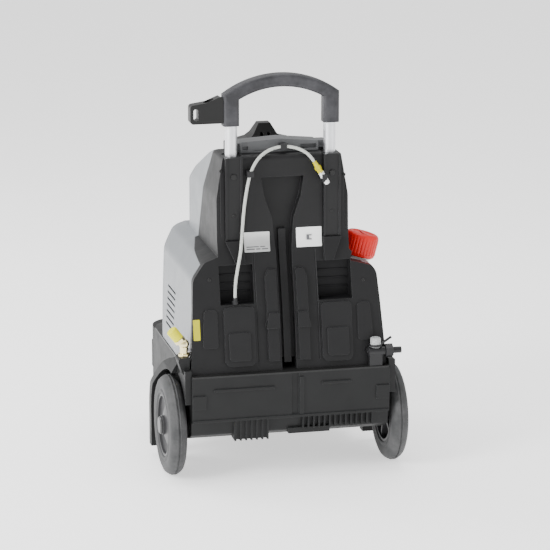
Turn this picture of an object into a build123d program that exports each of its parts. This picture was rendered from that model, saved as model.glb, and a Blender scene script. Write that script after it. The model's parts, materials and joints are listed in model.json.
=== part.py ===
from build123d import *
import os

# Upright hot-water high-pressure cleaner on two wheels and a front caster.
# Millimetres. +Z up, +Y is the way it is pushed, +X is the operator's right.
# The origin is on the floor, under the middle of the machine's box.

# ---- driving dimensions -------------------------------------------------
LENGTH = 618.0              # overall, along Y
WIDTH = 618.0               # overall, across the hub caps
HEIGHT = 994.0              # floor to the top of the pulled-out handle
WHEEL_D = 250.0
TYRE_W = 44.0
AXLE_D = 20.0
BASE_W = 496.0              # chassis trough, across
BASE_BOTTOM = 104.0
BASE_TOP = 272.0
BASE_WALL = 5.0
DECK_T = 4.0
SHELL_T = 3.5               # rear shell wall
HOOD_T = 3.0                # front hood wall
PART_GAP = 2.0              # parting gap between shell and hood
LOW_HALF = 246.0            # half width of the casing at the deck
UP_HALF = 165.0             # half width of the upper casing
BODY_TOP = 797.0
SHOULDER_Z = 552.0
TUBE_D = 30.0               # handle tube
TUBE_X = 123.0              # half spacing of the handle tubes
SLEEVE_W = 43.0
SLEEVE_TOP = 795.0
SLEEVE_BOTTOM = 590.0
HANDLE_TRAVEL = 72.0
GRIP_HALF = 144.7
GRIP_DEPTH = 38.0
BOILER_D = 224.0
BOILER_H = 300.0
HOSE_D = 8.0
CAP_D = 81.0                # fuel filler cap
NECK_TILT = 15.0            # filler neck, outward from upright
CASTER_D = 80.0
CASTER_W = 28.0
KNOB_D = 44.0
FIT = 0.05                  # radial running clearance of shafts and tubes
GAP = 0.3                   # clearance between loosely fitted faces

# ---- values that follow -------------------------------------------------
WHEEL_R = WHEEL_D / 2
REAR_Y = -LENGTH / 2
FRONT_Y = LENGTH / 2
AXLE_Y = REAR_Y + WHEEL_R
BASE_HALF = BASE_W / 2
DECK_Z = BASE_TOP + DECK_T
BASE_REAR = REAR_Y + 5.0
BUMPER_T = 24.0
BASE_FRONT = FRONT_Y - BUMPER_T
TUBE_Y = AXLE_Y + 5.0
TUBE_R = TUBE_D / 2
FACE_Y = TUBE_Y - 19.0      # rear face of the upper casing, at its top
SLEEVE_REAR = FACE_Y - 12.0
HUB_T = 7.0
TYRE_OUT = WIDTH / 2 - HUB_T
TYRE_IN = TYRE_OUT - TYRE_W
RIM_R = 78.0
HUB_R = 24.0
SPOKES = 5
BASE_CORNER = 70.0
RIB_PITCH = 13.5
FENDER_OUT = TYRE_OUT + 1.0
FENDER_TOP = DECK_Z + 14.0
FENDER_GAP = 13.0
CORNER_OUT = TYRE_IN + 6.0
CORNER_BACK = 112.0
CORNER_Z = 196.0
SKIRT_Z = 29.0

POCKET_W = 85.0
POCKET_Z0 = 438.0
POCKET_Z1 = 532.0
POCKET_FLOOR_Y = AXLE_Y - 28.0
CROSSBAR_HALF = 98.0
CROSSBAR_Y0 = AXLE_Y + 15.0
CROSSBAR_Y1 = AXLE_Y + 62.0
CROSSBAR_Z0 = BODY_TOP - 30.0
PANEL_HALF = 56.0
PANEL_Z0 = 505.0
PANEL_Z1 = 600.0
PANEL_Y = 190.0
KNOB_Z = 552.0
STEM_R = 5.0
FLUE_Y = AXLE_Y + 195.0
FLUE_R = 29.0
COWL_TOP = 838.0
SCREW_HEADS = [(-153.0, 762.0), (155.0, 740.0), (-190.0, 500.0), (196.0, 480.0)]
SLEEVE_SCREW_Z = 652.0

NECK_BASE = Vector(204, AXLE_Y + 50, 503.5)
NECK_DIR = Vector(0, 0, 1).rotate(Axis.Y, NECK_TILT)
NECK_R = 31.0
SEAT_S = 14.0               # height of the cap's seat along the neck
INSERT_R = 26.0

PIPE_R = 6.0
PIPE_DROP = 14.0            # the outlet pipe's height under the outlet's ball
OUTLET_BASE = Vector(-258, AXLE_Y - 70, DECK_Z + 69)
OUTLET_R = 10.0
OUTLET_DIR = Vector(0, 0, 1).rotate(Axis.Y, -38)
TURRET_TOP = DECK_Z + 43.0
INLET_Y = AXLE_Y - 109.0
INLET_Z = DECK_Z + 36.0
NUT_L = 18.0
SPIGOT_R = 8.0              # the free end that a supply hose is pushed onto
SPIGOT_L = 22.0

CASTER_Y = 190.0
CASTER_TRAIL = 28.0
CASTER_AXLE_Z = CASTER_D / 2
CASTER_AXLE_Y = CASTER_Y - CASTER_TRAIL
FORK_TOP = BASE_BOTTOM - 12.5
KINGPIN_R = 7.0
CHEEK_X = CASTER_W / 2 + 2.5
PEDAL_Y = CASTER_Y - 52.0
PEDAL_Z = 83.0
PEDAL_PIN_R = 3.0

GRIP_BOTTOM = 870.0
SOCKET = 45.0
TUBE_BOTTOM = SLEEVE_BOTTOM - 15.0
BUTTON_Z = 748.0
BUTTON_R = 7.0
HOLDER_X0 = -226.0
HOLDER_Z0 = 878.0
HOLDER_DEPTH = 30.0
LANCE_X = -178.0
LANCE_R = 9.0               # bore that takes a lance tube
LANCE_L = 36.0

BOILER_Z0 = 336.0
BOILER_R = BOILER_D / 2
BURNER_R = 45.0
COIL_Z0 = BOILER_Z0 + 26.0
COIL_PITCH = 16.0
COIL_TURNS = 14
COIL_R = 78.0
RISER_X = -75.0             # the pipe that climbs from the pump to the coil
RISER_Y = -105.0
BLOWER_Y0 = FLUE_Y + BOILER_R + 4.0
BLOWER_Y1 = BLOWER_Y0 + 46.0
BLOWER_Z = 410.0
BLOWER_R = 62.0
MOTOR_Z = 190.0
MOTOR_R = 62.0
MOTOR_Y0 = -30.0
MOTOR_Y1 = 170.0
SHAFT_R = 8.0
PUMP_Y0 = MOTOR_Y0 - 86.0


# ---- helpers ------------------------------------------------------------
def outline(points, radii):
    """A closed flat outline with a rounding radius at each corner."""
    return make_face(FilletPolyline(*points, radius=radii, close=True))


def polygon(points):
    return make_face(Polyline(*points, close=True))


def along_x(face, x0, x1):
    """Extrude a (y, z) outline from x0 to x1."""
    return extrude(Plane.YZ.offset(x0) * face, amount=x1 - x0)


def along_y(face, y0, y1):
    """Extrude an (x, z) outline from y0 to y1."""
    return extrude(Plane.XZ.offset(-y1) * face, amount=y1 - y0)


def along_z(face, z0, z1):
    """Extrude an (x, y) outline from z0 to z1."""
    return extrude(Plane.XY.offset(z0) * face, amount=z1 - z0)


def block(x0, x1, y0, y1, z0, z1):
    centre = Pos((x0 + x1) / 2, (y0 + y1) / 2, (z0 + z1) / 2)
    return centre * Box(x1 - x0, y1 - y0, z1 - z0)


def rod(start, direction, radius, length):
    """A cylinder that starts at a point and runs along a direction."""
    align = (Align.CENTER, Align.CENTER, Align.MIN)
    return Plane(origin=start, z_dir=direction) * Cylinder(radius, length, align=align)


def hexagon(start, direction, across, length):
    face = RegularPolygon(across / 2, 6, major_radius=False)
    return extrude(Plane(origin=start, z_dir=direction) * face, amount=length)


def mirrored(shape):
    return mirror(shape, about=Plane.YZ)


def shrink(face, amount):
    """Move an outline inward by an amount (outward if negative)."""
    if amount == 0:
        return face
    return offset(face, amount=-amount, kind=Kind.INTERSECTION)


# ---- casing -------------------------------------------------------------
REAR_LINE = [
    (FACE_Y - 84.0, DECK_Z),
    (FACE_Y - 54.0, 430.0),
    (FACE_Y - 10.0, SLEEVE_BOTTOM),
    (FACE_Y, BODY_TOP),
]
HOOD_TOP = [
    (FACE_Y + 90.0, BODY_TOP + 2.0),
    (-56.0, BODY_TOP - 15.0),
    (74.0, BODY_TOP - 76.0),
    (150.0, BODY_TOP - 129.0),
    (192.0, BODY_TOP - 197.0),
    (226.0, DECK_Z),
]
SIDE_RADII = [0, 90, 120, 14, 30, 80, 80, 60, 80, 0]


def side_outline():
    return outline(REAR_LINE + HOOD_TOP, SIDE_RADII)


def side_prism(inset):
    return along_x(shrink(side_outline(), inset), -300, 300)


def low_front_outline():
    right = [(200, SHOULDER_Z - 12), (231, SHOULDER_Z - 52), (LOW_HALF, DECK_Z)]
    left = [(-x, z) for x, z in reversed(right)]
    top = [(-UP_HALF, SHOULDER_Z), (UP_HALF, SHOULDER_Z)]
    return outline(left + top + right, [0, 34, 24, 0, 0, 24, 34, 0])


def up_front_outline():
    right = [(147, BODY_TOP + 2), (UP_HALF, BODY_TOP - 105), (UP_HALF, DECK_Z)]
    left = [(-x, z) for x, z in reversed(right)]
    return outline(left + right, [0, 90, 16, 16, 90, 0])


def plan_outline(half, front, corner):
    points = [(-half, -320), (half, -320), (half, front), (-half, front)]
    return outline(points, [0, 0, corner, corner])


def casing_block(front_face, half, front, corner, inset):
    body = along_z(shrink(plan_outline(half, front, corner), inset), 0, 900)
    body = body & side_prism(inset)
    return body & along_y(shrink(front_face, inset), -400, 400)


def casing(inset):
    """The whole casing as one solid, moved inward by an inset; its foot stays open for the deck."""
    low = casing_block(low_front_outline(), LOW_HALF, 226, 150, inset)
    high = casing_block(up_front_outline(), UP_HALF, 212, 85, inset)
    return low + high


def foot(inset):
    """Fills the inner space down through the deck line, so that the shells are open below."""
    face = plan_outline(LOW_HALF - 1, 226, 150)
    inner = along_z(shrink(face, inset), DECK_Z - 20, DECK_Z + 12)
    return inner & along_x(shrink(side_foot(), inset), -300, 300)


def side_foot():
    return polygon([(FACE_Y - 84, DECK_Z - 40), (226, DECK_Z - 40), (226, DECK_Z + 30),
                    (FACE_Y - 78, DECK_Z + 30)])


def recess(face, depth, grow):
    """A recess that follows the rear face at an even depth."""
    cutter = along_y(shrink(face, -grow), -420, -60)
    return cutter - side_prism(depth + grow)


def boss(face, height):
    """A raised panel that follows the rear face."""
    body = along_y(face, -420, -120) & side_prism(-height)
    return body - side_prism(SHELL_T / 2)


def pocket(side, grow):
    half = POCKET_W / 2 + grow
    x = side * TUBE_X
    return block(x - half, x + half, -420, POCKET_FLOOR_Y + grow, POCKET_Z0 - grow, POCKET_Z1 + grow)


def funnel_outline():
    right = [(54, 742), (46, 694), (27, 640), (20, 560), (18, DECK_Z - 10)]
    left = [(-x, z) for x, z in reversed(right)]
    return polygon(right + left)


def rear_region(grow):
    """Everything behind the parting line between rear shell and hood."""
    line = [(FACE_Y - 64, DECK_Z - 60), (FACE_Y - 64, DECK_Z), (FACE_Y - 42, 430),
            (FACE_Y - 4, 532), (22, 549), (-112, 840)]
    points = [(-420, DECK_Z - 60)] + [(y + grow, z) for y, z in line] + [(-420, 840)]
    core = block(-200 - grow, 200 + grow, -420, POCKET_FLOOR_Y + 20 + grow, DECK_Z - 60, SHOULDER_Z - 12)
    return along_x(polygon(points), -320, 320) + core


def sleeve_box(side, grow):
    x = side * TUBE_X
    half = SLEEVE_W / 2 + grow
    return block(x - half, x + half, SLEEVE_REAR - grow, TUBE_Y + TUBE_R + 6 + grow,
                 SLEEVE_BOTTOM - grow, SLEEVE_TOP + 40)


def neck_hole(radius):
    return rod(NECK_BASE - NECK_DIR * 60, NECK_DIR, radius, 140)


def cap_seat(grow):
    """The flat that is sunk into the shoulder under the filler cap and runs out to the rear."""
    radius = CAP_D / 2 + 2.5 + grow
    seat = Plane(origin=NECK_BASE + NECK_DIR * (SEAT_S - grow), z_dir=NECK_DIR, x_dir=(0, -1, 0))
    round_end = extrude(seat * Circle(radius), amount=120)
    run_out = extrude(seat * Pos(75, 0) * Rectangle(150, 2 * radius), amount=120)
    return round_end + run_out


def outlet_hole():
    start = (OUTLET_BASE.X + 62, OUTLET_BASE.Y, OUTLET_BASE.Z - PIPE_DROP)
    return rod(start, (-1, 0, 0), PIPE_R + 1, 60)


def crossbar_box(grow):
    return block(-CROSSBAR_HALF - grow, CROSSBAR_HALF + grow, CROSSBAR_Y0 - grow, CROSSBAR_Y1 + grow,
                 CROSSBAR_Z0 - grow, BODY_TOP + 60)


def raised_panels():
    """Pilasters beside the groove, and the swelling tank blocks under the pockets."""
    right = boss(polygon([(25, 300), (52, 300), (52, 500), (44, 519), (25, 519)]), 9)
    right += boss(polygon([(23, 380), (56, 380), (48, 417), (23, 417)]), 15)
    right += boss(outline([(84, 292), (160, 292), (160, 434), (84, 434)], [16, 16, 10, 10]), 8)
    right += boss(outline([(97, 306), (150, 306), (150, 373), (97, 373)], [8, 8, 4, 4]), 13)
    right += boss(outline([(176, 338), (214, 338), (208, 430), (176, 430)], [8, 8, 10, 10]), 5)
    taper = [(100, SLEEVE_BOTTOM - 1), (145, SLEEVE_BOTTOM - 1), (122, 534), (100, 534)]
    right += boss(polygon(taper), 9)
    return right + mirrored(right)


def shell_grooves():
    solids = []
    for side in (-1, 1):
        x = side * 77
        solids.append(recess(polygon([(x - 2, 296), (x + 2, 296), (x + 2, 560), (x - 2, 560)]), 1.5, 0))
        x = side * 157
        solids.append(recess(polygon([(x - 2, 600), (x + 2, 600), (x + 2, 770), (x - 2, 770)]), 1.5, 0))
    return solids


def rear_shell():
    outer = (casing(0) & rear_region(0)) + raised_panels() - cap_seat(0)
    inner = casing(SHELL_T) + foot(SHELL_T) - cap_seat(SHELL_T)
    for side in (-1, 1):
        outer = outer - pocket(side, 0)
        inner = inner - pocket(side, SHELL_T)
    outer = outer - recess(funnel_outline(), 24, 0)
    inner = inner - recess(funnel_outline(), 24, SHELL_T)
    spine = polygon([(-9, DECK_Z + 14), (9, DECK_Z + 14), (9, 610), (-9, 610)])
    outer = outer + (along_y(spine, -420, -120) & (side_prism(14) - side_prism(26)))
    shell = outer - inner
    for groove in shell_grooves():
        shell = shell - groove
    for side in (-1, 1):
        shell = shell - sleeve_box(side, GAP)
    shell = shell - crossbar_box(GAP)
    shell = shell - neck_hole(NECK_R + 1)
    shell = shell - outlet_hole()
    shell = shell - rod((200, INLET_Y + 60, INLET_Z), (0, -1, 0), PIPE_R + 1, 60)
    return largest(shell)


def largest(shape):
    """The main solid, without the slivers that a cut can leave."""
    return max(shape.solids(), key=lambda s: s.volume)


def front_hood():
    outer = casing(0) - rear_region(PART_GAP) - cap_seat(0)
    hood = outer - (casing(HOOD_T) + foot(HOOD_T) - cap_seat(HOOD_T))
    hood = hood - block(-PANEL_HALF - GAP, PANEL_HALF + GAP, 150, 260, PANEL_Z0 - GAP, PANEL_Z1 + GAP)
    hood = hood - rod((0, FLUE_Y, 700), (0, 0, 1), FLUE_R + 4, 120)
    hood = hood - neck_hole(NECK_R + 1) - outlet_hole()
    for row in range(7):
        z = 320 + row * 16
        for side in (-1, 1):
            hood = hood - block(side * 240 - 20, side * 240 + 20, -40, 60, z, z + 6)
    return largest(hood)


def top_crossbar():
    """The arched bar between the sleeves, with a hand slot and a long groove in its rear face."""
    half = CROSSBAR_HALF
    y0 = CROSSBAR_Y0
    points = [(-half, CROSSBAR_Z0), (half, CROSSBAR_Z0), (half, BODY_TOP + 24),
              (0, BODY_TOP + 33), (-half, BODY_TOP + 27)]
    bar = along_y(outline(points, [4, 4, 5, 0, 5]), y0, CROSSBAR_Y1)
    ears = block(-half - 22, half + 22, TUBE_Y + TUBE_R + 8, CROSSBAR_Y1, BODY_TOP + 4, BODY_TOP + 22)
    bar = bar + ears
    bar = bar - block(half - 46, half - 4, y0 - 1, y0 + 12, BODY_TOP + 6, BODY_TOP + 17)
    bar = bar - block(-half + 5, -half + 20, y0 - 1, y0 + 6, BODY_TOP + 8, BODY_TOP + 17)
    return bar - block(-half + 36, half - 52, y0 - 1, y0 + 2, BODY_TOP + 3, BODY_TOP + 7)


def control_panel():
    plate = block(-PANEL_HALF, PANEL_HALF, PANEL_Y - 6, PANEL_Y, PANEL_Z0, PANEL_Z1)
    rim = block(-PANEL_HALF, PANEL_HALF, PANEL_Y - 6, PANEL_Y + 4, PANEL_Z0, PANEL_Z1)
    rim = rim - block(-PANEL_HALF + 5, PANEL_HALF - 5, PANEL_Y - 8, PANEL_Y + 6, PANEL_Z0 + 5, PANEL_Z1 - 5)
    panel = plate + rim
    return panel - rod((0, PANEL_Y - 10, KNOB_Z), (0, 1, 0), STEM_R + FIT, 20)


def flue_cowl():
    """Concave pyramid over the flue: broad wings, then a short tapering chimney with two slots."""
    wings = [(92, 700), (92, 785), (66, 794), (42, 801), (30, 812), (22, 826), (15, COWL_TOP)]
    sides = [(46, 700), (46, 788), (34, 797), (26, 810), (19, 826), (14, COWL_TOP)]
    front = polygon([(-x, z) for x, z in wings] + wings[::-1])
    side = polygon([(FLUE_Y - y, z) for y, z in sides] + [(FLUE_Y + y, z) for y, z in sides[::-1]])
    body = along_y(front, FLUE_Y - 60, FLUE_Y + 60) & along_x(side, -120, 120)
    body = body - side_prism(0)
    body = body - rod((0, FLUE_Y, 690), (0, 0, 1), FLUE_R + 4, 106)
    throat = Pos(0, FLUE_Y, 790) * Cone(28, 8, 42, align=(Align.CENTER, Align.CENTER, Align.MIN))
    body = body - throat
    for x in (-9, 9):
        body = body - block(x - 4, x + 4, FLUE_Y - 60, FLUE_Y + 60, 806, 816)
    return largest(body)


# ---- chassis ------------------------------------------------------------
def base_side():
    points = [(BASE_REAR, BASE_TOP), (BASE_REAR, 163), (BASE_REAR + 12, 156), (BASE_REAR + 16, 124),
              (BASE_REAR + 60, BASE_BOTTOM), (BASE_FRONT - 60, BASE_BOTTOM), (BASE_FRONT, 150),
              (BASE_FRONT, BASE_TOP)]
    return outline(points, [0, 3, 3, 8, 20, 20, 20, 0])


def base_plan():
    points = [(-BASE_HALF, BASE_REAR - 5), (BASE_HALF, BASE_REAR - 5),
              (BASE_HALF, BASE_FRONT), (-BASE_HALF, BASE_FRONT)]
    return outline(points, [0, 0, BASE_CORNER, BASE_CORNER])


def base_solid(inset):
    body = along_x(shrink(base_side(), inset), -BASE_HALF + inset, BASE_HALF - inset)
    return body & along_z(shrink(base_plan(), inset), 0, 400)


def base_cavity():
    lifted = base_solid(BASE_WALL)
    mouth = block(-BASE_HALF + BASE_WALL, BASE_HALF - BASE_WALL, BASE_REAR + BASE_WALL,
                  BASE_FRONT - 75, BASE_TOP - 30, BASE_TOP + 5)
    return lifted + mouth


def rear_ribs():
    """Ledges and upright ribs on the rear of the trough, and the ribbed foot on its left."""
    face = BASE_REAR
    ribs = []
    for i in range(14):
        x = 30 + i * RIB_PITCH
        ribs.append(block(x - 2, x + 2, face + 4, face + 24, 128, 163))
    for i in range(7):
        x = -140 + i * RIB_PITCH
        ribs.append(block(x - 2, x + 2, face + 4, face + 40, BASE_BOTTOM + 3, 163))
    ribs.append(block(-143, -56, face + 8, face + 44, BASE_BOTTOM + 6, 162))
    ribs.append(block(-6, 98, face + 8, face + 34, 116, 130))
    ribs.append(block(-194, -43, face - 4, face + 3, 236, 242))
    ribs.append(block(76, 150, face - 4, face + 3, 240, 246))
    ribs.append(block(-BASE_HALF + 1, BASE_HALF - 1, face - 3, face + 6, 160, 166))
    ribs.append(block(20, 30, face - 4, face + 3, 168, 262))
    for side in (-1, 1):
        x0, x1 = sorted((side * (BASE_HALF - 34), side * (BASE_HALF - 1)))
        ribs.append(block(x0, x1, face - 4, face + 3, 194, 228))
    return ribs


def chassis_base():
    base = base_solid(0) - base_cavity()
    for rib in rear_ribs():
        base = base + rib
    base = base - block(0, 18, BASE_REAR - 6, BASE_REAR + 3, 168, BASE_TOP + 1)
    base = base - rod((-400, AXLE_Y, WHEEL_R), (1, 0, 0), AXLE_D / 2 + FIT, 800)
    return largest(base)


def deck_plate():
    """Plate that closes the chassis trough and carries boiler and tanks."""
    points = [(-BASE_HALF, BASE_REAR), (BASE_HALF, BASE_REAR), (BASE_HALF, 236), (-BASE_HALF, 236)]
    deck = along_z(outline(points, [6, 6, 60, 60]), BASE_TOP, DECK_Z)
    deck = deck - rod((0, FLUE_Y, BASE_TOP - 5), (0, 0, 1), 30, 20)
    return deck - rod((RISER_X, RISER_Y, BASE_TOP - 5), (0, 0, 1), PIPE_R + 2, 20)


def fender_outline():
    """Corner box behind the axle, arch over the front half of the wheel, and its skirt."""
    corner = Pos(AXLE_Y - CORNER_BACK / 2, (CORNER_Z + FENDER_TOP) / 2)
    body = corner * Rectangle(CORNER_BACK, FENDER_TOP - CORNER_Z)
    disc = Pos(AXLE_Y, WHEEL_R) * Circle(FENDER_TOP - WHEEL_R)
    body = body + (disc & Pos(AXLE_Y + 100, WHEEL_R + 100) * Rectangle(200, 200))
    skirt_y = AXLE_Y + FENDER_TOP - WHEEL_R - 14
    body = body + Pos(skirt_y, (SKIRT_Z + WHEEL_R) / 2) * Rectangle(28, WHEEL_R - SKIRT_Z)
    return body - Pos(AXLE_Y, WHEEL_R) * Circle(WHEEL_R + FENDER_GAP)


def fender_front():
    """The fender's outline from behind: its top falls away over the tyre."""
    return outline([(BASE_HALF, SKIRT_Z - 1), (FENDER_OUT, SKIRT_Z - 1), (FENDER_OUT, 196),
                    (FENDER_OUT - 22, 262), (CORNER_OUT, FENDER_TOP), (BASE_HALF, FENDER_TOP)],
                   [0, 0, 30, 24, 6, 0])


def fender(side):
    body = along_x(fender_outline(), BASE_HALF, FENDER_OUT)
    body = body & along_y(fender_front(), AXLE_Y - 200, AXLE_Y + 200)
    body = body - block(CORNER_OUT, FENDER_OUT + 1, AXLE_Y - 200, AXLE_Y - 20, 0, 300)
    if side < 0:
        body = mirrored(body) + outlet_turret()
    return largest(body)


def outlet_turret():
    """Block on the left corner that carries the high-pressure outlet."""
    x = OUTLET_BASE.X
    y = OUTLET_BASE.Y
    points = [(x - 22, TURRET_TOP), (x + 9, TURRET_TOP), (x + 9, FENDER_TOP - 12), (x - 8, FENDER_TOP - 12)]
    return along_y(outline(points, [8, 0, 0, 0]), y - 24, y + 18)


def front_bumper():
    corner = BASE_CORNER + BUMPER_T / 2
    plan = outline([(-BASE_HALF, BASE_FRONT - BASE_CORNER), (BASE_HALF, BASE_FRONT - BASE_CORNER),
                    (BASE_HALF, FRONT_Y), (-BASE_HALF, FRONT_Y)], [0, 0, corner, corner])
    body = along_z(plan, 160, 225)
    body = body - along_z(base_plan(), 100, 300)
    return largest(body)


def rear_axle():
    end = TYRE_OUT + HUB_T - 3
    return rod((-end, AXLE_Y, WHEEL_R), (1, 0, 0), AXLE_D / 2, 2 * end)


# ---- wheels -------------------------------------------------------------
def wheel_place(side):
    """Local +Z of a wheel points outward along X."""
    return Plane(origin=(side * TYRE_IN, AXLE_Y, WHEEL_R), x_dir=(0, 1, 0), z_dir=(side, 0, 0))


def tyre(side):
    """Solid rubber tyre with a round-shouldered section and a groove round its tread."""
    r = WHEEL_R
    half = [(RIM_R, 4), (RIM_R + 6, 1), (r - 25, 0), (r - 12, 4), (r - 4, 12), (r, 18),
            (r, TYRE_W / 2 - 2), (r - 2.5, TYRE_W / 2 - 1)]
    points = half + [(u, TYRE_W - v) for u, v in half[::-1]]
    soft = [0, 2, 20, 14, 8, 4, 0, 0]
    section = outline(points, soft + soft[::-1])
    ring = revolve(Plane.XZ * section, axis=Axis.Z)
    return wheel_place(side) * ring


def wheel_rim(side):
    """Rim with a closed, dished disc outside and five ribs inside."""
    band = revolve(Plane.XZ * polygon([(RIM_R - 6, 4), (RIM_R, 4), (RIM_R, TYRE_W - 4),
                                       (RIM_R - 6, TYRE_W - 4)]), axis=Axis.Z)
    dish = [(HUB_R - 2, TYRE_W - 6), (HUB_R + 12, TYRE_W - 9), (RIM_R - 20, TYRE_W - 16),
            (RIM_R - 4, TYRE_W - 10)]
    under = [(u, v - 5) for u, v in dish[::-1]]
    disc = revolve(Plane.XZ * polygon(dish + under), axis=Axis.Z)
    hub = Cylinder(HUB_R, TYRE_W, align=(Align.CENTER, Align.CENTER, Align.MIN))
    rim = band + hub + disc
    for i in range(SPOKES):
        spoke = block(HUB_R - 4, RIM_R - 4, -4, 4, 8, TYRE_W - 20)
        rim = rim + Rot(0, 0, 360 / SPOKES * i) * spoke
    rim = rim - Cylinder(AXLE_D / 2 + FIT, 400)
    return wheel_place(side) * rim


def hub_cap(side):
    cup = Pos(0, 0, TYRE_W) * Cylinder(HUB_R - 2, HUB_T, align=(Align.CENTER, Align.CENTER, Align.MIN))
    cup = chamfer(cup.faces().sort_by(Axis.Z)[-1].edges(), 3)
    bore = Cylinder(AXLE_D / 2 + FIT, HUB_T - 2, align=(Align.CENTER, Align.CENTER, Align.MIN))
    return wheel_place(side) * (cup - Pos(0, 0, TYRE_W - 1) * bore)


# ---- caster -------------------------------------------------------------
def caster_mount_plate():
    plate = block(-45, 45, CASTER_Y - 45, CASTER_Y + 45, BASE_BOTTOM - 6, BASE_BOTTOM)
    ring = rod((0, CASTER_Y, BASE_BOTTOM - 12), (0, 0, 1), 24, 6)
    plate = plate + ring
    return plate - rod((0, CASTER_Y, BASE_BOTTOM - 20), (0, 0, 1), KINGPIN_R + FIT, 17)


def caster_fork():
    y0 = CASTER_AXLE_Y - 14
    crown = block(-CHEEK_X - 3, CHEEK_X + 3, PEDAL_Y - 8, CASTER_Y + 22, FORK_TOP - 4, FORK_TOP)
    crown = crown + rod((0, CASTER_Y, FORK_TOP - 4), (0, 0, 1), KINGPIN_R, 12)
    cheek = [(PEDAL_Y - 8, FORK_TOP), (PEDAL_Y - 8, PEDAL_Z - 6), (y0, CASTER_AXLE_Z - 12),
             (y0 + 28, CASTER_AXLE_Z - 12), (CASTER_Y + 22, FORK_TOP - 12), (CASTER_Y + 22, FORK_TOP)]
    side = along_x(polygon(cheek), CHEEK_X, CHEEK_X + 3)
    fork = crown + side + mirrored(side)
    fork = fork - rod((-40, CASTER_AXLE_Y, CASTER_AXLE_Z), (1, 0, 0), 4 + FIT, 80)
    return fork - rod((-40, PEDAL_Y, PEDAL_Z), (1, 0, 0), PEDAL_PIN_R + FIT, 80)


def caster_axle():
    pin = rod((-CHEEK_X - 5, CASTER_AXLE_Y, CASTER_AXLE_Z), (1, 0, 0), 4, 2 * CHEEK_X + 10)
    for side in (-1, 1):
        x = side * (CHEEK_X + 3)
        pin = pin + hexagon((x, CASTER_AXLE_Y, CASTER_AXLE_Z), (side, 0, 0), 13, 5)
    return pin


def caster_wheel():
    r = CASTER_D / 2
    h = CASTER_W / 2
    points = [(4 + FIT, -h), (r - 12, -h), (r - 9, -h + 3), (r - 4, -h + 3), (r, -h + 8), (r, h - 8),
              (r - 4, h - 3), (r - 9, h - 3), (r - 12, h), (4 + FIT, h)]
    ring = revolve(Plane.XZ * polygon(points), axis=Axis.Z)
    return Plane(origin=(0, CASTER_AXLE_Y, CASTER_AXLE_Z), x_dir=(0, 1, 0), z_dir=(1, 0, 0)) * ring


def caster_brake_pedal():
    pin = rod((-CHEEK_X - 4, PEDAL_Y, PEDAL_Z), (1, 0, 0), PEDAL_PIN_R, 2 * CHEEK_X + 8)
    plate = [(PEDAL_Y + 5, PEDAL_Z - 3), (PEDAL_Y + 5, PEDAL_Z + 3), (PEDAL_Y - 30, PEDAL_Z + 3),
             (PEDAL_Y - 42, PEDAL_Z - 2), (PEDAL_Y - 41, PEDAL_Z - 7), (PEDAL_Y - 28, PEDAL_Z - 3)]
    return pin + along_x(polygon(plate), -CHEEK_X + 1, CHEEK_X - 1)


# ---- handle -------------------------------------------------------------
def handle_sleeve(side):
    sleeve = sleeve_box(side, 0) & block(-300, 300, -400, 0, SLEEVE_BOTTOM, SLEEVE_TOP)
    x = side * TUBE_X
    for edge in (-1, 1):
        xe = x + edge * (SLEEVE_W / 2 - 2.5)
        ridge = block(xe - 2.5, xe + 2.5, SLEEVE_REAR - 3, SLEEVE_REAR + 1, SLEEVE_BOTTOM, SLEEVE_TOP)
        sleeve = sleeve + ridge
    sleeve = sleeve - rod((x, TUBE_Y, SLEEVE_BOTTOM - 5), (0, 0, 1), TUBE_R + FIT, 240)
    sleeve = sleeve - rod((x, SLEEVE_REAR - 1, BUTTON_Z), (0, 1, 0), BUTTON_R + FIT, 14)
    return sleeve


def lock_button(side):
    x = side * TUBE_X
    button = rod((x, SLEEVE_REAR - 3.5, BUTTON_Z), (0, 1, 0), BUTTON_R, 13)
    return fillet(button.faces().sort_by(Axis.Y)[0].edges(), 1.2)


def handle_tube(side):
    x = side * TUBE_X
    tube = rod((x, TUBE_Y, TUBE_BOTTOM), (0, 0, 1), TUBE_R, GRIP_BOTTOM + SOCKET - TUBE_BOTTOM)
    length = GRIP_BOTTOM + SOCKET - TUBE_BOTTOM + 2
    return tube - rod((x, TUBE_Y, TUBE_BOTTOM - 1), (0, 0, 1), TUBE_R - 2, length)


def arch(half, bottom, shoulder, top):
    """A leg-and-arc outline: upright legs joined by one flat arc."""
    left = Line((-half, bottom), (-half, shoulder))
    bow = ThreePointArc((-half, shoulder), (0, top), (half, shoulder))
    right = Line((half, shoulder), (half, bottom))
    foot_line = Line((half, bottom), (-half, bottom))
    return make_face([left, bow, right, foot_line])


def handle_grip():
    outer = arch(GRIP_HALF, GRIP_BOTTOM, HEIGHT - 47, HEIGHT)
    inner = arch(GRIP_HALF - 40, GRIP_BOTTOM - 1, HEIGHT - 60, HEIGHT - 32)
    y0 = TUBE_Y - GRIP_DEPTH / 2
    grip = along_y(outer - inner, y0, y0 + GRIP_DEPTH)
    rims = grip.faces().filter_by(Axis.Y).edges()
    grip = fillet([e for e in rims if e.center().Z > GRIP_BOTTOM + 1], 9)
    for side in (-1, 1):
        grip = grip - rod((side * TUBE_X, TUBE_Y, GRIP_BOTTOM - 1), (0, 0, 1), TUBE_R, SOCKET + 1)
    return grip


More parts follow.
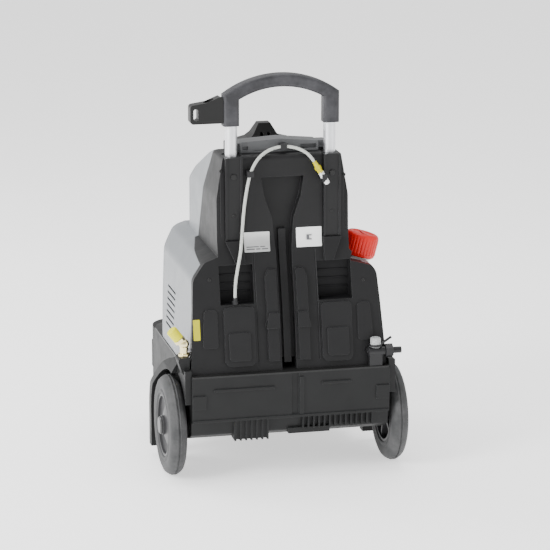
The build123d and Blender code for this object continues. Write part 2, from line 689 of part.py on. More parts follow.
def lance_holder():
    """Hook bracket on the left leg of the grip, with a slot that keeps the lance."""
    x1 = -GRIP_HALF
    points = [(x1, HOLDER_Z0), (x1, 938), (x1 - 8, 943), (x1 - 40, 930), (HOLDER_X0, 924),
              (HOLDER_X0, HOLDER_Z0)]
    y0 = TUBE_Y - HOLDER_DEPTH / 2
    body = along_y(outline(points, [0, 0, 4, 0, 8, 8]), y0, y0 + HOLDER_DEPTH)
    slot = outline([(-218, 886), (-206, 886), (-206, 915), (-218, 915)], [5, 5, 5, 5])
    body = body - along_y(slot, y0 - 1, y0 + HOLDER_DEPTH + 1)
    body = body - rod((LANCE_X, TUBE_Y, HOLDER_Z0 + LANCE_L), (0, 0, 1), LANCE_R + 4, 100)
    return body - rod((LANCE_X, TUBE_Y, 860), (0, 0, 1), LANCE_R, 100)


# ---- fuel and water -----------------------------------------------------
def fuel_tank():
    body = block(128, 218, AXLE_Y - 20, 60, DECK_Z + 6, 480)
    body = fillet(body.edges().filter_by(Axis.Z), 18)
    return body - rod(NECK_BASE - NECK_DIR * 40, NECK_DIR, NECK_R, 80)


def fuel_filler_neck():
    neck = rod(NECK_BASE - NECK_DIR * 34, NECK_DIR, NECK_R, 50)
    neck = neck + rod(NECK_BASE + NECK_DIR * (SEAT_S + 0.2), NECK_DIR, NECK_R + 6, 1.8)
    return neck - rod(NECK_BASE - NECK_DIR * 40, NECK_DIR, INSERT_R + GAP, 80)


def filler_cap_insert():
    """Threaded plug that closes the neck; the cap turns on its stem."""
    top = NECK_BASE + NECK_DIR * 16.5
    plug = rod(top - NECK_DIR * 26, NECK_DIR, INSERT_R, 26)
    return plug + rod(top, NECK_DIR, 10, 20)


def filler_cap():
    top = NECK_BASE + NECK_DIR * 17
    cap = rod(top, NECK_DIR, CAP_D / 2, 50)
    cap = fillet(cap.edges().sort_by(lambda e: e.center().dot(NECK_DIR))[-1:], 6)
    for i in range(14):
        angle = 360 / 14 * i
        groove = Rot(0, 0, angle) * Pos(CAP_D / 2 + 1.6, 0, 25) * Cylinder(3.4, 60)
        cap = cap - Plane(origin=top, z_dir=NECK_DIR) * groove
    return cap - rod(top - NECK_DIR, NECK_DIR, 10 + FIT, 22)


def water_float_tank():
    body = block(-218, -128, AXLE_Y - 20, 60, DECK_Z + 6, 462)
    return fillet(body.edges().filter_by(Axis.Z), 18)


# ---- boiler -------------------------------------------------------------
def ring(radius, wall, z0, z1):
    outer = rod((0, FLUE_Y, z0), (0, 0, 1), radius, z1 - z0)
    return outer - rod((0, FLUE_Y, z0 - 1), (0, 0, 1), radius - wall, z1 - z0 + 2)


def boiler_outer_jacket():
    z1 = BOILER_Z0 + BOILER_H
    jacket = ring(BOILER_R, 2, BOILER_Z0, z1)
    floor = ring(BOILER_R - 2, BOILER_R - 48, BOILER_Z0, BOILER_Z0 + 2)
    legs = []
    for x in (-80, 80):
        for y in (-55, 55):
            legs.append(block(x - 6, x + 6, FLUE_Y + y - 6, FLUE_Y + y + 6, DECK_Z, BOILER_Z0))
    body = jacket + floor
    for leg in legs:
        body = body + leg
    return body - rod((RISER_X, RISER_Y, COIL_Z0), (0, 1, 0), PIPE_R + 1, 60)


def heating_coil():
    """The coil as stacked turns joined by a riser, which keeps each turn a true ring."""
    coil = None
    for i in range(COIL_TURNS):
        z = COIL_Z0 + COIL_PITCH * i
        turn = Pos(0, FLUE_Y, z) * Torus(COIL_R, PIPE_R)
        coil = turn if coil is None else coil + turn
    height = COIL_PITCH * (COIL_TURNS - 1)
    riser = rod((COIL_R, FLUE_Y, COIL_Z0), (0, 0, 1), PIPE_R - 1, height)
    return coil + riser


def flue_pipe():
    """Boiler lid with the flue that rises into the cowl."""
    z = BOILER_Z0 + BOILER_H
    lid = rod((0, FLUE_Y, z), (0, 0, 1), BOILER_R, 3)
    pipe = rod((0, FLUE_Y, z), (0, 0, 1), FLUE_R, 780 - z)
    return lid + pipe - rod((0, FLUE_Y, z - 1), (0, 0, 1), FLUE_R - 2, 200)


def burner_head():
    head = rod((0, FLUE_Y, DECK_Z + 10), (0, 0, 1), BURNER_R, BOILER_Z0 - DECK_Z - 10)
    head = head + rod((0, FLUE_Y, BOILER_Z0), (0, 0, 1), 30, 18)
    return head


def blower_housing():
    drum = rod((0, BLOWER_Y0, BLOWER_Z), (0, 1, 0), BLOWER_R, BLOWER_Y1 - BLOWER_Y0)
    duct = block(-22, 22, FLUE_Y + BURNER_R + 0.5, BLOWER_Y1 - 6, DECK_Z + 12, BOILER_Z0 - 4)
    drop = block(-22, 22, BLOWER_Y0, BLOWER_Y1 - 6, DECK_Z + 12, BLOWER_Z - 40)
    stand = block(-30, 30, BLOWER_Y0, BLOWER_Y1 - 6, DECK_Z, DECK_Z + 14)
    body = drum + duct + drop + stand
    body = body - rod((0, BLOWER_Y0 + 3, BLOWER_Z), (0, 1, 0), BLOWER_R - 3, BLOWER_Y1 - BLOWER_Y0 - 6)
    body = body - rod((0, BLOWER_Y1 - 5, BLOWER_Z), (0, 1, 0), 30, 10)
    return body - rod((0, BLOWER_Y0 - 1, BLOWER_Z), (0, 1, 0), 4 + FIT, 6)


def fan_wheel():
    """Bladed wheel of the burner blower, on its own short shaft."""
    y = BLOWER_Y0 + 8
    wheel = rod((0, y, BLOWER_Z), (0, 1, 0), 50, 3)
    wheel = wheel + rod((0, BLOWER_Y0 - 3, BLOWER_Z), (0, 1, 0), 4, 20)
    wheel = wheel + rod((0, y, BLOWER_Z), (0, 1, 0), 12, 20)
    for i in range(12):
        blade = block(30, 48, y + 2, y + 24, -1, 1)
        turned = Pos(0, 0, BLOWER_Z) * Rot(0, 360 / 12 * i, 0) * blade
        wheel = wheel + turned
    return wheel


# ---- motor and pump -----------------------------------------------------
def motor_housing():
    body = rod((0, MOTOR_Y0, MOTOR_Z), (0, 1, 0), MOTOR_R, MOTOR_Y1 - MOTOR_Y0)
    for i in range(18):
        angle = 360 / 18 * i
        fin = block(MOTOR_R - 2, MOTOR_R + 6, MOTOR_Y0 + 20, MOTOR_Y1 - 50, -1.5, 1.5)
        body = body + Pos(0, 0, MOTOR_Z) * Rot(0, angle, 0) * fin
    feet = block(-50, 50, MOTOR_Y0 + 30, MOTOR_Y0 + 120, BASE_BOTTOM + BASE_WALL, MOTOR_Z - 40)
    body = body + feet
    body = body - rod((0, MOTOR_Y1 - 28, MOTOR_Z), (0, 1, 0), MOTOR_R - 4, 40)
    return body - rod((0, MOTOR_Y0 - 5, MOTOR_Z), (0, 1, 0), SHAFT_R + FIT, 240)


def motor_shaft():
    """Motor shaft with its cooling fan, inside the open front end of the housing."""
    shaft = rod((0, MOTOR_Y0 - 40, MOTOR_Z), (0, 1, 0), SHAFT_R, MOTOR_Y1 - MOTOR_Y0 + 30)
    fan = rod((0, MOTOR_Y1 - 20, MOTOR_Z), (0, 1, 0), 20, 12)
    for i in range(8):
        blade = block(16, MOTOR_R - 8, MOTOR_Y1 - 20, MOTOR_Y1 - 8, -1.5, 1.5)
        fan = fan + Pos(0, 0, MOTOR_Z) * Rot(0, 45 * i, 0) * blade
    return shaft + fan


def pump_block():
    body = block(-48, 48, PUMP_Y0, MOTOR_Y0, MOTOR_Z - 48, MOTOR_Z + 48)
    body = fillet(body.edges().filter_by(Axis.Y), 12)
    stand = block(-30, 30, PUMP_Y0 + 10, MOTOR_Y0 - 10, BASE_BOTTOM + BASE_WALL, MOTOR_Z - 46)
    body = body + stand
    return body - rod((0, MOTOR_Y0 - 44, MOTOR_Z), (0, 1, 0), SHAFT_R + FIT, 50)


def pipe(points, radii, radius):
    path = FilletPolyline(*points, radius=radii)
    start = path @ 0
    section = Plane(origin=start, z_dir=path % 0) * Circle(radius)
    return sweep(section, path=path)


def high_pressure_pipes():
    """Two pipes: pump to coil, and coil to outlet."""
    feed = [(-48, RISER_Y, MOTOR_Z), (RISER_X, RISER_Y, MOTOR_Z), (RISER_X, RISER_Y, COIL_Z0),
            (RISER_X, FLUE_Y - 30, COIL_Z0)]
    first = pipe(feed, [16, 24], PIPE_R) - Pos(0, FLUE_Y, COIL_Z0) * Torus(COIL_R, PIPE_R + FIT)
    z = OUTLET_BASE.Z - PIPE_DROP
    y = OUTLET_BASE.Y
    run = [(OUTLET_BASE.X, y, z), (-116, y, z), (-116, FLUE_Y - 120, z)]
    second = pipe(run, [20], PIPE_R) - rod((OUTLET_BASE.X, y, DECK_Z), (0, 0, 1), OUTLET_R, 100)
    return Compound(children=[largest(first), largest(second)])


def pressure_outlet_elbow():
    """Brass outlet: a block on the fender deck, then a nipple that leans outward."""
    foot_point = (OUTLET_BASE.X, OUTLET_BASE.Y, TURRET_TOP)
    base = rod(foot_point, (0, 0, 1), OUTLET_R, OUTLET_BASE.Z - TURRET_TOP + 2)
    collar = rod(foot_point, (0, 0, 1), 14, 6)
    ball = Pos(OUTLET_BASE + Vector(0, 0, 4)) * Sphere(12.5)
    nipple = rod(OUTLET_BASE, OUTLET_DIR, 9, 38)
    nut = hexagon(OUTLET_BASE + OUTLET_DIR * 12, OUTLET_DIR, 24, 9)
    return base + collar + ball + nipple + nut


def outlet_cap():
    start = OUTLET_BASE + OUTLET_DIR * 22
    cap = rod(start, OUTLET_DIR, 13.5, 30)
    cap = fillet(cap.edges().sort_by(lambda e: e.center().dot(OUTLET_DIR))[-1:], 4)
    return cap - rod(start - OUTLET_DIR, OUTLET_DIR, 9 + FIT, 19)


def water_inlet_body():
    x0 = 196.0
    body = rod((x0, INLET_Y, INLET_Z), (1, 0, 0), 11, 42)
    body = body + rod((x0 + 42, INLET_Y, INLET_Z), (1, 0, 0), 9, NUT_L + 1)
    body = body + rod((x0 + 43 + NUT_L, INLET_Y, INLET_Z), (1, 0, 0), SPIGOT_R, SPIGOT_L)
    tail = rod((x0 + 4, INLET_Y, INLET_Z), (0, 1, 0), PIPE_R, 76)
    seat = rod((x0 + 18, INLET_Y, INLET_Z), (0, 0, 1), 8, 14)
    foot_block = block(x0 + 2, x0 + 34, INLET_Y - 8, INLET_Y + 8, DECK_Z, INLET_Z)
    body = body + tail + seat + foot_block
    return body - rod((x0 + 14, INLET_Y, INLET_Z), (1, 0, 0), 5.5, 90)


def inlet_strainer_bowl():
    bowl = rod((214, INLET_Y, INLET_Z + 11.5), (0, 0, 1), 13, 24)
    bowl = fillet(bowl.edges().sort_by(Axis.Z)[-1:], 5)
    return bowl - rod((214, INLET_Y, INLET_Z), (0, 0, 1), 8, 30)


def inlet_union_nut():
    nut = hexagon((238.5, INLET_Y, INLET_Z), (1, 0, 0), 30, NUT_L)
    return nut - rod((230, INLET_Y, INLET_Z), (1, 0, 0), 9 + FIT, 40)


# ---- control ------------------------------------------------------------
def electronics_box():
    box = block(-70, 70, BLOWER_Y0 - 2, PANEL_Y - 8, 492, 610)
    box = fillet(box.edges().filter_by(Axis.Y), 6)
    return box - block(-66, 66, BLOWER_Y0 + 2, PANEL_Y - 11, 496, 606)


def switch_knob():
    knob = rod((0, PANEL_Y + GAP, KNOB_Z), (0, 1, 0), KNOB_D / 2, 18)
    knob = fillet(knob.faces().sort_by(Axis.Y)[-1].edges(), 2)
    knob = knob + rod((0, PANEL_Y - 7, KNOB_Z), (0, 1, 0), STEM_R, 12)
    return knob + block(-2, 2, PANEL_Y + 8, PANEL_Y + 21, KNOB_Z, KNOB_Z + KNOB_D / 2 - 2)


# ---- plates and screws --------------------------------------------------
def plate(x0, x1, z0, z1, thick):
    face = outline([(x0, z0), (x1, z0), (x1, z1), (x0, z1)], [2, 2, 2, 2])
    return along_y(face, -420, -120) & (side_prism(-thick) - side_prism(0))


def type_plate():
    return plate(-98, -34, 560, 608, 0.8)


def info_label():
    return plate(33, 97, 566, 614, 0.8)


def yellow_marker():
    return plate(-236, -219, 358, 408, 0.8)


def shell_screws():
    heads = []
    for x, z in SCREW_HEADS:
        disc = along_y(Pos(x, z) * Circle(4.5), -420, -120) & (side_prism(-1.6) - side_prism(0))
        heads += disc.solids()
    for side in (-1, 1):
        heads.append(rod((side * TUBE_X, SLEEVE_REAR - 1.6, SLEEVE_SCREW_Z), (0, 1, 0), 4.5, 1.6))
    return Compound(children=heads)


# ---- detergent hose -----------------------------------------------------
# Route points of the hose, picked by hand: up out of the left pocket, along the inner edge
# of the sleeve, over under the crossbar and down to the filter on the right sleeve.
HOSE_ROUTE = [
    (-128, -244, 455), (-128, -244, 488), (-121, -242, 527), (-112, -236, 566),
    (-107, -229, 606), (-103, -223, 646), (-98, -220, 686), (-92, -219, 722),
    (-84, -217, 755), (-70, -212, 783), (-48, -203, 802), (-22, -192, 811),
    (6, -186, 814), (32, -190, 811), (54, -198, 803), (70, -206, 790), (79, -213, 774),
]


def route_radii(points):
    """Each arc takes 0.45 of its shorter run, divided by the tangent of half the turn."""
    radii = []
    for a, b, c in zip(points, points[1:], points[2:]):
        first = Vector(*b) - Vector(*a)
        second = Vector(*c) - Vector(*b)
        turn = first.get_angle(second)
        half = Vector(1, 0, 0).rotate(Axis.Z, turn / 2)
        radii.append(0.45 * min(first.length, second.length) * half.X / half.Y)
    return radii


def hose_path():
    return FilletPolyline(*HOSE_ROUTE, radius=route_radii(HOSE_ROUTE))


def suction_hose_tube(radius):
    path = hose_path()
    return sweep(Plane(origin=path @ 0, z_dir=path % 0) * Circle(radius), path=path)


def suction_hose():
    hose = suction_hose_tube(HOSE_D / 2)
    length = hose_path().length
    area = Circle(HOSE_D / 2).area
    print("hose arc radii", [round(r) for r in route_radii(HOSE_ROUTE)])
    print("hose length", round(length, 1), "volume ratio", round(hose.volume / (length * area), 4))
    return hose


HOSE_END = Vector(*HOSE_ROUTE[-1])
FILTER_DIR = (HOSE_END - Vector(*HOSE_ROUTE[-2])).normalized()


def suction_filter():
    body = rod(HOSE_END, FILTER_DIR, 6, 10)
    body = body + rod(HOSE_END + FILTER_DIR * 10, FILTER_DIR, 8, 22)
    return body + rod(HOSE_END + FILTER_DIR * 32, FILTER_DIR, 6.5, 28)


def hose_gland():
    x, y, z = HOSE_ROUTE[0]
    return rod((x, y, POCKET_Z0), (0, 0, 1), 8, 8) + rod((x, y, POCKET_Z0), (0, 0, 1), 6, z - POCKET_Z0)


def hose_clips():
    """Three holders: on the shell, on the crossbar and, for the filter, on the right sleeve."""
    clips = []
    x, y, z = HOSE_ROUTE[8]
    clips.append(block(x - 8, x + 8, y - 7, FACE_Y - 0.5, z - 7, z + 7))
    x, y, z = HOSE_ROUTE[12]
    clips.append(block(x - 8, x + 8, y - 7, CROSSBAR_Y0, z - 8, z + 6))
    spot = HOSE_END + FILTER_DIR * 42
    clips.append(block(spot.X - 6, spot.X + 6, spot.Y - 9, SLEEVE_REAR, spot.Z - 9, spot.Z + 9))
    hose = suction_hose_tube(HOSE_D / 2)
    neighbours = [hose, suction_filter(), side_prism(0), handle_sleeve(1)]
    cut = []
    for clip in clips:
        for neighbour in neighbours:
            clip = clip - neighbour
        cut.append(largest(clip))
    return Compound(children=cut)


PARTS = {
    "chassis_base": chassis_base(),
    "deck_plate": deck_plate(),
    "fender_left": fender(-1),
    "fender_right": fender(1),
    "front_bumper": front_bumper(),
    "rear_shell": rear_shell(),
    "front_hood": front_hood(),
    "top_crossbar": top_crossbar(),
    "control_panel": control_panel(),
    "flue_cowl": flue_cowl(),
    "type_plate": type_plate(),
    "info_label": info_label(),
    "yellow_marker": yellow_marker(),
    "shell_screws": shell_screws(),
    "rear_axle": rear_axle(),
    "caster_mount_plate": caster_mount_plate(),
    "caster_fork": caster_fork(),
    "caster_axle": caster_axle(),
    "caster_wheel": caster_wheel(),
    "caster_brake_pedal": caster_brake_pedal(),
    "handle_grip": handle_grip(),
    "lance_holder": lance_holder(),
    "fuel_tank": fuel_tank(),
    "fuel_filler_neck": fuel_filler_neck(),
    "filler_cap_insert": filler_cap_insert(),
    "filler_cap": filler_cap(),
    "water_float_tank": water_float_tank(),
    "water_inlet_body": water_inlet_body(),
    "inlet_strainer_bowl": inlet_strainer_bowl(),
    "inlet_union_nut": inlet_union_nut(),
    "motor_housing": motor_housing(),
    "motor_shaft": motor_shaft(),
    "pump_block": pump_block(),
    "high_pressure_pipes": high_pressure_pipes(),
    "heating_coil": heating_coil(),
    "pressure_outlet_elbow": pressure_outlet_elbow(),
    "outlet_cap": outlet_cap(),
    "boiler_outer_jacket": boiler_outer_jacket(),
    "flue_pipe": flue_pipe(),
    "burner_head": burner_head(),
    "blower_housing": blower_housing(),
    "fan_wheel": fan_wheel(),
    "electronics_box": electronics_box(),
    "switch_knob": switch_knob(),
    "suction_hose": suction_hose(),
    "suction_filter": suction_filter(),
    "hose_gland": hose_gland(),
    "hose_clips": hose_clips(),
}
for side, name in ((-1, "left"), (1, "right")):
    PARTS["wheel_rim_" + name] = wheel_rim(side)
    PARTS["tyre_" + name] = tyre(side)
    PARTS["hub_cap_" + name] = hub_cap(side)
    PARTS["handle_sleeve_" + name] = handle_sleeve(side)
    PARTS["handle_tube_" + name] = handle_tube(side)
    PARTS["lock_button_" + name] = lock_button(side)

os.makedirs("parts", exist_ok=True)
for name, shape in PARTS.items():
    export_step(shape, "parts/" + name + ".step")
print(len(PARTS), "nodes")
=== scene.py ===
import bpy
import bmesh
import json
import math
from mathutils import Matrix, Vector


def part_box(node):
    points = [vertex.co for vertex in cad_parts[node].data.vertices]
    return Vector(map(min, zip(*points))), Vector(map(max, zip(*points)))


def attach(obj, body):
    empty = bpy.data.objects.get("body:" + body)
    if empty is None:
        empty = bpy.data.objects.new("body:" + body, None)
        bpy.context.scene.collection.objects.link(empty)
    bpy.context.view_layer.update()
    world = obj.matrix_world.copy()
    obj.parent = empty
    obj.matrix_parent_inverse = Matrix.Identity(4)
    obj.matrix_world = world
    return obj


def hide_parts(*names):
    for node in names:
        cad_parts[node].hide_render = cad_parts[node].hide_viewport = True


# Upright hot-water pressure cleaner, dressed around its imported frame. Metres throughout.

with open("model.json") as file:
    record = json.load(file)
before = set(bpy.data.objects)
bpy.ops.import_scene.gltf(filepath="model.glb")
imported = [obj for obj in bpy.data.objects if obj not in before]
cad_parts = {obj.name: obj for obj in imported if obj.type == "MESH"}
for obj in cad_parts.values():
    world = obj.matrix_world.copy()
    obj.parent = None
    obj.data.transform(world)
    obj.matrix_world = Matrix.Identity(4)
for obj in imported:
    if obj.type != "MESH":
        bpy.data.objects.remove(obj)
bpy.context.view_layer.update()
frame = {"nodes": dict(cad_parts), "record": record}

# ---- camera and studio ----------------------------------------------------
AZIMUTH = math.radians(-13.0)
ELEVATION = math.radians(14.0)
DISTANCE = 6.9
LENS = 183.3                       # on a 36 mm wide sensor
AIM = Vector((-0.0144, -0.184, 0.491))
FLOOR_GLOW = 0.90
FLOOR_HALF = 14.0
WORLD_STRENGTH = 0.9
LIT_POINT = Vector((0, 0, 0.5))    # every light faces this point
LIGHTS = [                         # name, place, (width, height), watts
    ("key", (-3.8, -2.0, 2.4), (1.6, 2.2), 230),
    ("fill", (3.0, -2.8, 1.4), (2.0, 2.6), 25),
    ("top", (0.0, 0.4, 3.6), (3.0, 3.0), 90),
    ("rim", (-2.8, 2.0, 1.8), (1.6, 2.4), 70),
]


def add_camera():
    data = bpy.data.cameras.new("camera")
    data.lens = LENS
    data.sensor_width = 36.0
    data.clip_end = 60.0
    camera = bpy.data.objects.new("camera", data)
    bpy.context.scene.collection.objects.link(camera)
    away = Vector((math.sin(AZIMUTH) * math.cos(ELEVATION), -math.cos(AZIMUTH) * math.cos(ELEVATION),
                   math.sin(ELEVATION)))
    camera.location = AIM + away * DISTANCE
    camera.rotation_euler = (-away).to_track_quat("-Z", "Y").to_euler()
    bpy.context.scene.camera = camera


def add_light(name, place, size, power):
    data = bpy.data.lights.new(name, "AREA")
    data.shape = "RECTANGLE"
    data.size, data.size_y = size
    data.energy = power
    light = bpy.data.objects.new(name, data)
    bpy.context.scene.collection.objects.link(light)
    light.location = place
    light.rotation_euler = (LIT_POINT - Vector(place)).to_track_quat("-Z", "Y").to_euler()


def add_studio():
    world = bpy.data.worlds.new("studio")
    bpy.context.scene.world = world
    world.use_nodes = True
    back = world.node_tree.nodes["Background"]
    back.inputs["Color"].default_value = (1.0, 1.0, 1.0, 1)
    back.inputs["Strength"].default_value = WORLD_STRENGTH
    for light in LIGHTS:
        add_light(*light)


def add_floor():
    mesh = bpy.data.meshes.new("floor")
    floor = bpy.data.objects.new("floor", mesh)
    bpy.context.scene.collection.objects.link(floor)
    bm = bmesh.new()
    bmesh.ops.create_grid(bm, x_segments=1, y_segments=1, size=FLOOR_HALF)
    bm.to_mesh(mesh)
    bm.free()
    floor.data.materials.append(floor_material())


# ---- node helpers ---------------------------------------------------------
class Shader:
    """A small wrapper that adds nodes to one material."""

    def __init__(self, name):
        self.material = bpy.data.materials.new(name)
        self.material.use_nodes = True
        self.tree = self.material.node_tree
        self.bsdf = self.tree.nodes["Principled BSDF"]

    def add(self, kind, **values):
        node = self.tree.nodes.new(kind)
        for key, value in values.items():
            setattr(node, key, value)
        return node

    def link(self, a, b):
        self.tree.links.new(a, b)

    def noise(self, scale, detail=2.0, rough=0.5, stretch=(1, 1, 1)):
        place = self.add("ShaderNodeTexCoord")
        mapping = self.add("ShaderNodeMapping")
        mapping.inputs["Scale"].default_value = stretch
        noise = self.add("ShaderNodeTexNoise")
        noise.inputs["Scale"].default_value = scale
        noise.inputs["Detail"].default_value = detail
        noise.inputs["Roughness"].default_value = rough
        self.link(place.outputs["Object"], mapping.inputs["Vector"])
        self.link(mapping.outputs["Vector"], noise.inputs["Vector"])
        return noise.outputs["Fac"]

    def ramp(self, value, low, high, a, b):
        ramp = self.add("ShaderNodeValToRGB")
        ramp.color_ramp.elements[0].position = low
        ramp.color_ramp.elements[1].position = high
        ramp.color_ramp.elements[0].color = (*a, 1)
        ramp.color_ramp.elements[1].color = (*b, 1)
        self.link(value, ramp.inputs["Fac"])
        return ramp.outputs["Color"]

    def spread(self, value, low, high, a, b):
        node = self.add("ShaderNodeMapRange")
        node.inputs["From Min"].default_value = low
        node.inputs["From Max"].default_value = high
        node.inputs["To Min"].default_value = a
        node.inputs["To Max"].default_value = b
        self.link(value, node.inputs["Value"])
        return node.outputs["Result"]

    def mix(self, factor, a, b):
        node = self.add("ShaderNodeMix", data_type="RGBA")
        self.link(factor, node.inputs["Factor"])
        for socket, value in ((node.inputs[6], a), (node.inputs[7], b)):
            if isinstance(value, tuple):
                socket.default_value = (*value, 1)
            else:
                self.link(value, socket)
        return node.outputs[2]

    def edge(self, radius):
        """A rounded normal along edges, and a mask that is 1 on an edge and 0 on a flat face."""
        bevel = self.add("ShaderNodeBevel", samples=6)
        bevel.inputs["Radius"].default_value = radius
        true = self.add("ShaderNodeNewGeometry")
        dot = self.add("ShaderNodeVectorMath", operation="DOT_PRODUCT")
        self.link(bevel.outputs["Normal"], dot.inputs[0])
        self.link(true.outputs["Normal"], dot.inputs[1])
        mask = self.spread(dot.outputs["Value"], 0.98, 0.70, 0.0, 1.0)
        return bevel.outputs["Normal"], mask

    def bump(self, height, distance, strength=1.0, normal=None):
        bump = self.add("ShaderNodeBump")
        bump.inputs["Distance"].default_value = distance
        bump.inputs["Strength"].default_value = strength
        self.link(height, bump.inputs["Height"])
        if normal is not None:
            self.link(normal, bump.inputs["Normal"])
        return bump.outputs["Normal"]

    def finish(self, colour, rough, normal=None, **constants):
        self.link(colour, self.bsdf.inputs["Base Color"])
        self.link(rough, self.bsdf.inputs["Roughness"])
        if normal is not None:
            self.link(normal, self.bsdf.inputs["Normal"])
        for name, value in constants.items():
            self.bsdf.inputs[name].default_value = value
        return self.material


def tint(colour, k):
    return tuple(min(1.0, c * k) for c in colour)


def moulded(name, colour, rough, grain=0.00006, edge=0.0012, painted_edge_highlight=1.7, spots=0.12, specular=0.5):
    """Moulded plastic: fine grain, slow colour drift, faint dust, and edges lightened in colour by a
    painted highlight.
    """
    s = Shader(name)
    normal, mask = s.edge(edge)
    drift = s.noise(7.0, 4.0, 0.6)
    base = s.ramp(drift, 0.3, 0.7, tint(colour, 1 - spots), tint(colour, 1 + spots))
    # painted highlight: the edge mask lightens the colour along edges where light would catch them
    base = s.mix(mask, base, tint(colour, painted_edge_highlight))
    fine = s.noise(1500.0, 2.0, 0.6)
    normal = s.bump(fine, grain, 0.7, normal)
    rough_map = s.spread(s.noise(22.0, 5.0, 0.65), 0.3, 0.7, rough - 0.05, rough + 0.06)
    return s.finish(base, rough_map, normal, **{"Specular IOR Level": specular})


def metal(name, colour, rough, stretch=(1, 1, 60), edge=0.0006, painted_edge_highlight=1.15, metallic=1.0):
    """Metal with a drawn or turned grain along one direction."""
    s = Shader(name)
    normal, mask = s.edge(edge)
    streak = s.noise(90.0, 3.0, 0.6, stretch)
    base = s.ramp(streak, 0.25, 0.75, tint(colour, 0.88), tint(colour, 1.08))
    # painted highlight: the edge mask lightens the colour along edges where light would catch them
    base = s.mix(mask, base, tint(colour, painted_edge_highlight))
    normal = s.bump(streak, 0.00003, 0.5, normal)
    rough_map = s.spread(s.noise(30.0, 4.0, 0.6), 0.3, 0.7, rough - 0.05, rough + 0.07)
    return s.finish(base, rough_map, normal, Metallic=metallic)


def rubber(name, colour, rough, scuff_and_edge_highlight, grain_scale=420.0):
    """Rubber: dull, finely pitted, with paler scuffs, and edges lightened in the scuff colour as a painted
    highlight.
    """
    s = Shader(name)
    normal, mask = s.edge(0.001)
    dirt = s.noise(16.0, 6.0, 0.7)
    base = s.ramp(dirt, 0.42, 0.75, colour, scuff_and_edge_highlight)
    # painted highlight: edges take a brightened scuff colour where light would catch them
    base = s.mix(mask, base, tint(scuff_and_edge_highlight, 1.1))
    normal = s.bump(s.noise(grain_scale, 3.0, 0.6), 0.00012, 0.8, normal)
    rough_map = s.spread(dirt, 0.3, 0.7, rough - 0.06, rough + 0.08)
    return s.finish(base, rough_map, normal, **{"Specular IOR Level": 0.35})


def floor_material():
    s = Shader("floor_paint")
    colour = s.ramp(s.noise(1.2, 2.0, 0.5), 0.3, 0.7, (0.90, 0.90, 0.90), (0.92, 0.92, 0.92))
    rough = s.spread(s.noise(3.0), 0.3, 0.7, 0.75, 0.85)
    glow = {"Emission Color": (1.0, 1.0, 1.0, 1.0), "Emission Strength": FLOOR_GLOW}
    return s.finish(colour, rough, None, **glow)


def hood_material():
    s = Shader("hood_satin_grey")
    normal, mask = s.edge(0.0015)
    drift = s.noise(4.0, 4.0, 0.6)
    base = s.ramp(drift, 0.3, 0.7, (0.175, 0.185, 0.196), (0.200, 0.211, 0.223))
    # painted highlight: the edge mask mixes a lighter grey along edges where light would catch them
    base = s.mix(mask, base, (0.28, 0.293, 0.306))
    fine = s.noise(1100.0, 3.0, 0.6)
    normal = s.bump(fine, 0.00004, 0.5, normal)
    rough = s.spread(s.noise(18.0, 5.0, 0.6), 0.3, 0.7, 0.36, 0.46)
    return s.finish(base, rough, normal, **{"Specular IOR Level": 0.45, "Coat Weight": 0.08})


def see_through(name, colour, rough, amount):
    s = Shader(name)
    base = s.ramp(s.noise(30.0, 3.0, 0.6), 0.3, 0.7, tint(colour, 0.9), tint(colour, 1.06))
    rough_map = s.spread(s.noise(60.0), 0.3, 0.7, rough - 0.04, rough + 0.05)
    return s.finish(base, rough_map, None, **{"Transmission Weight": amount, "IOR": 1.45})


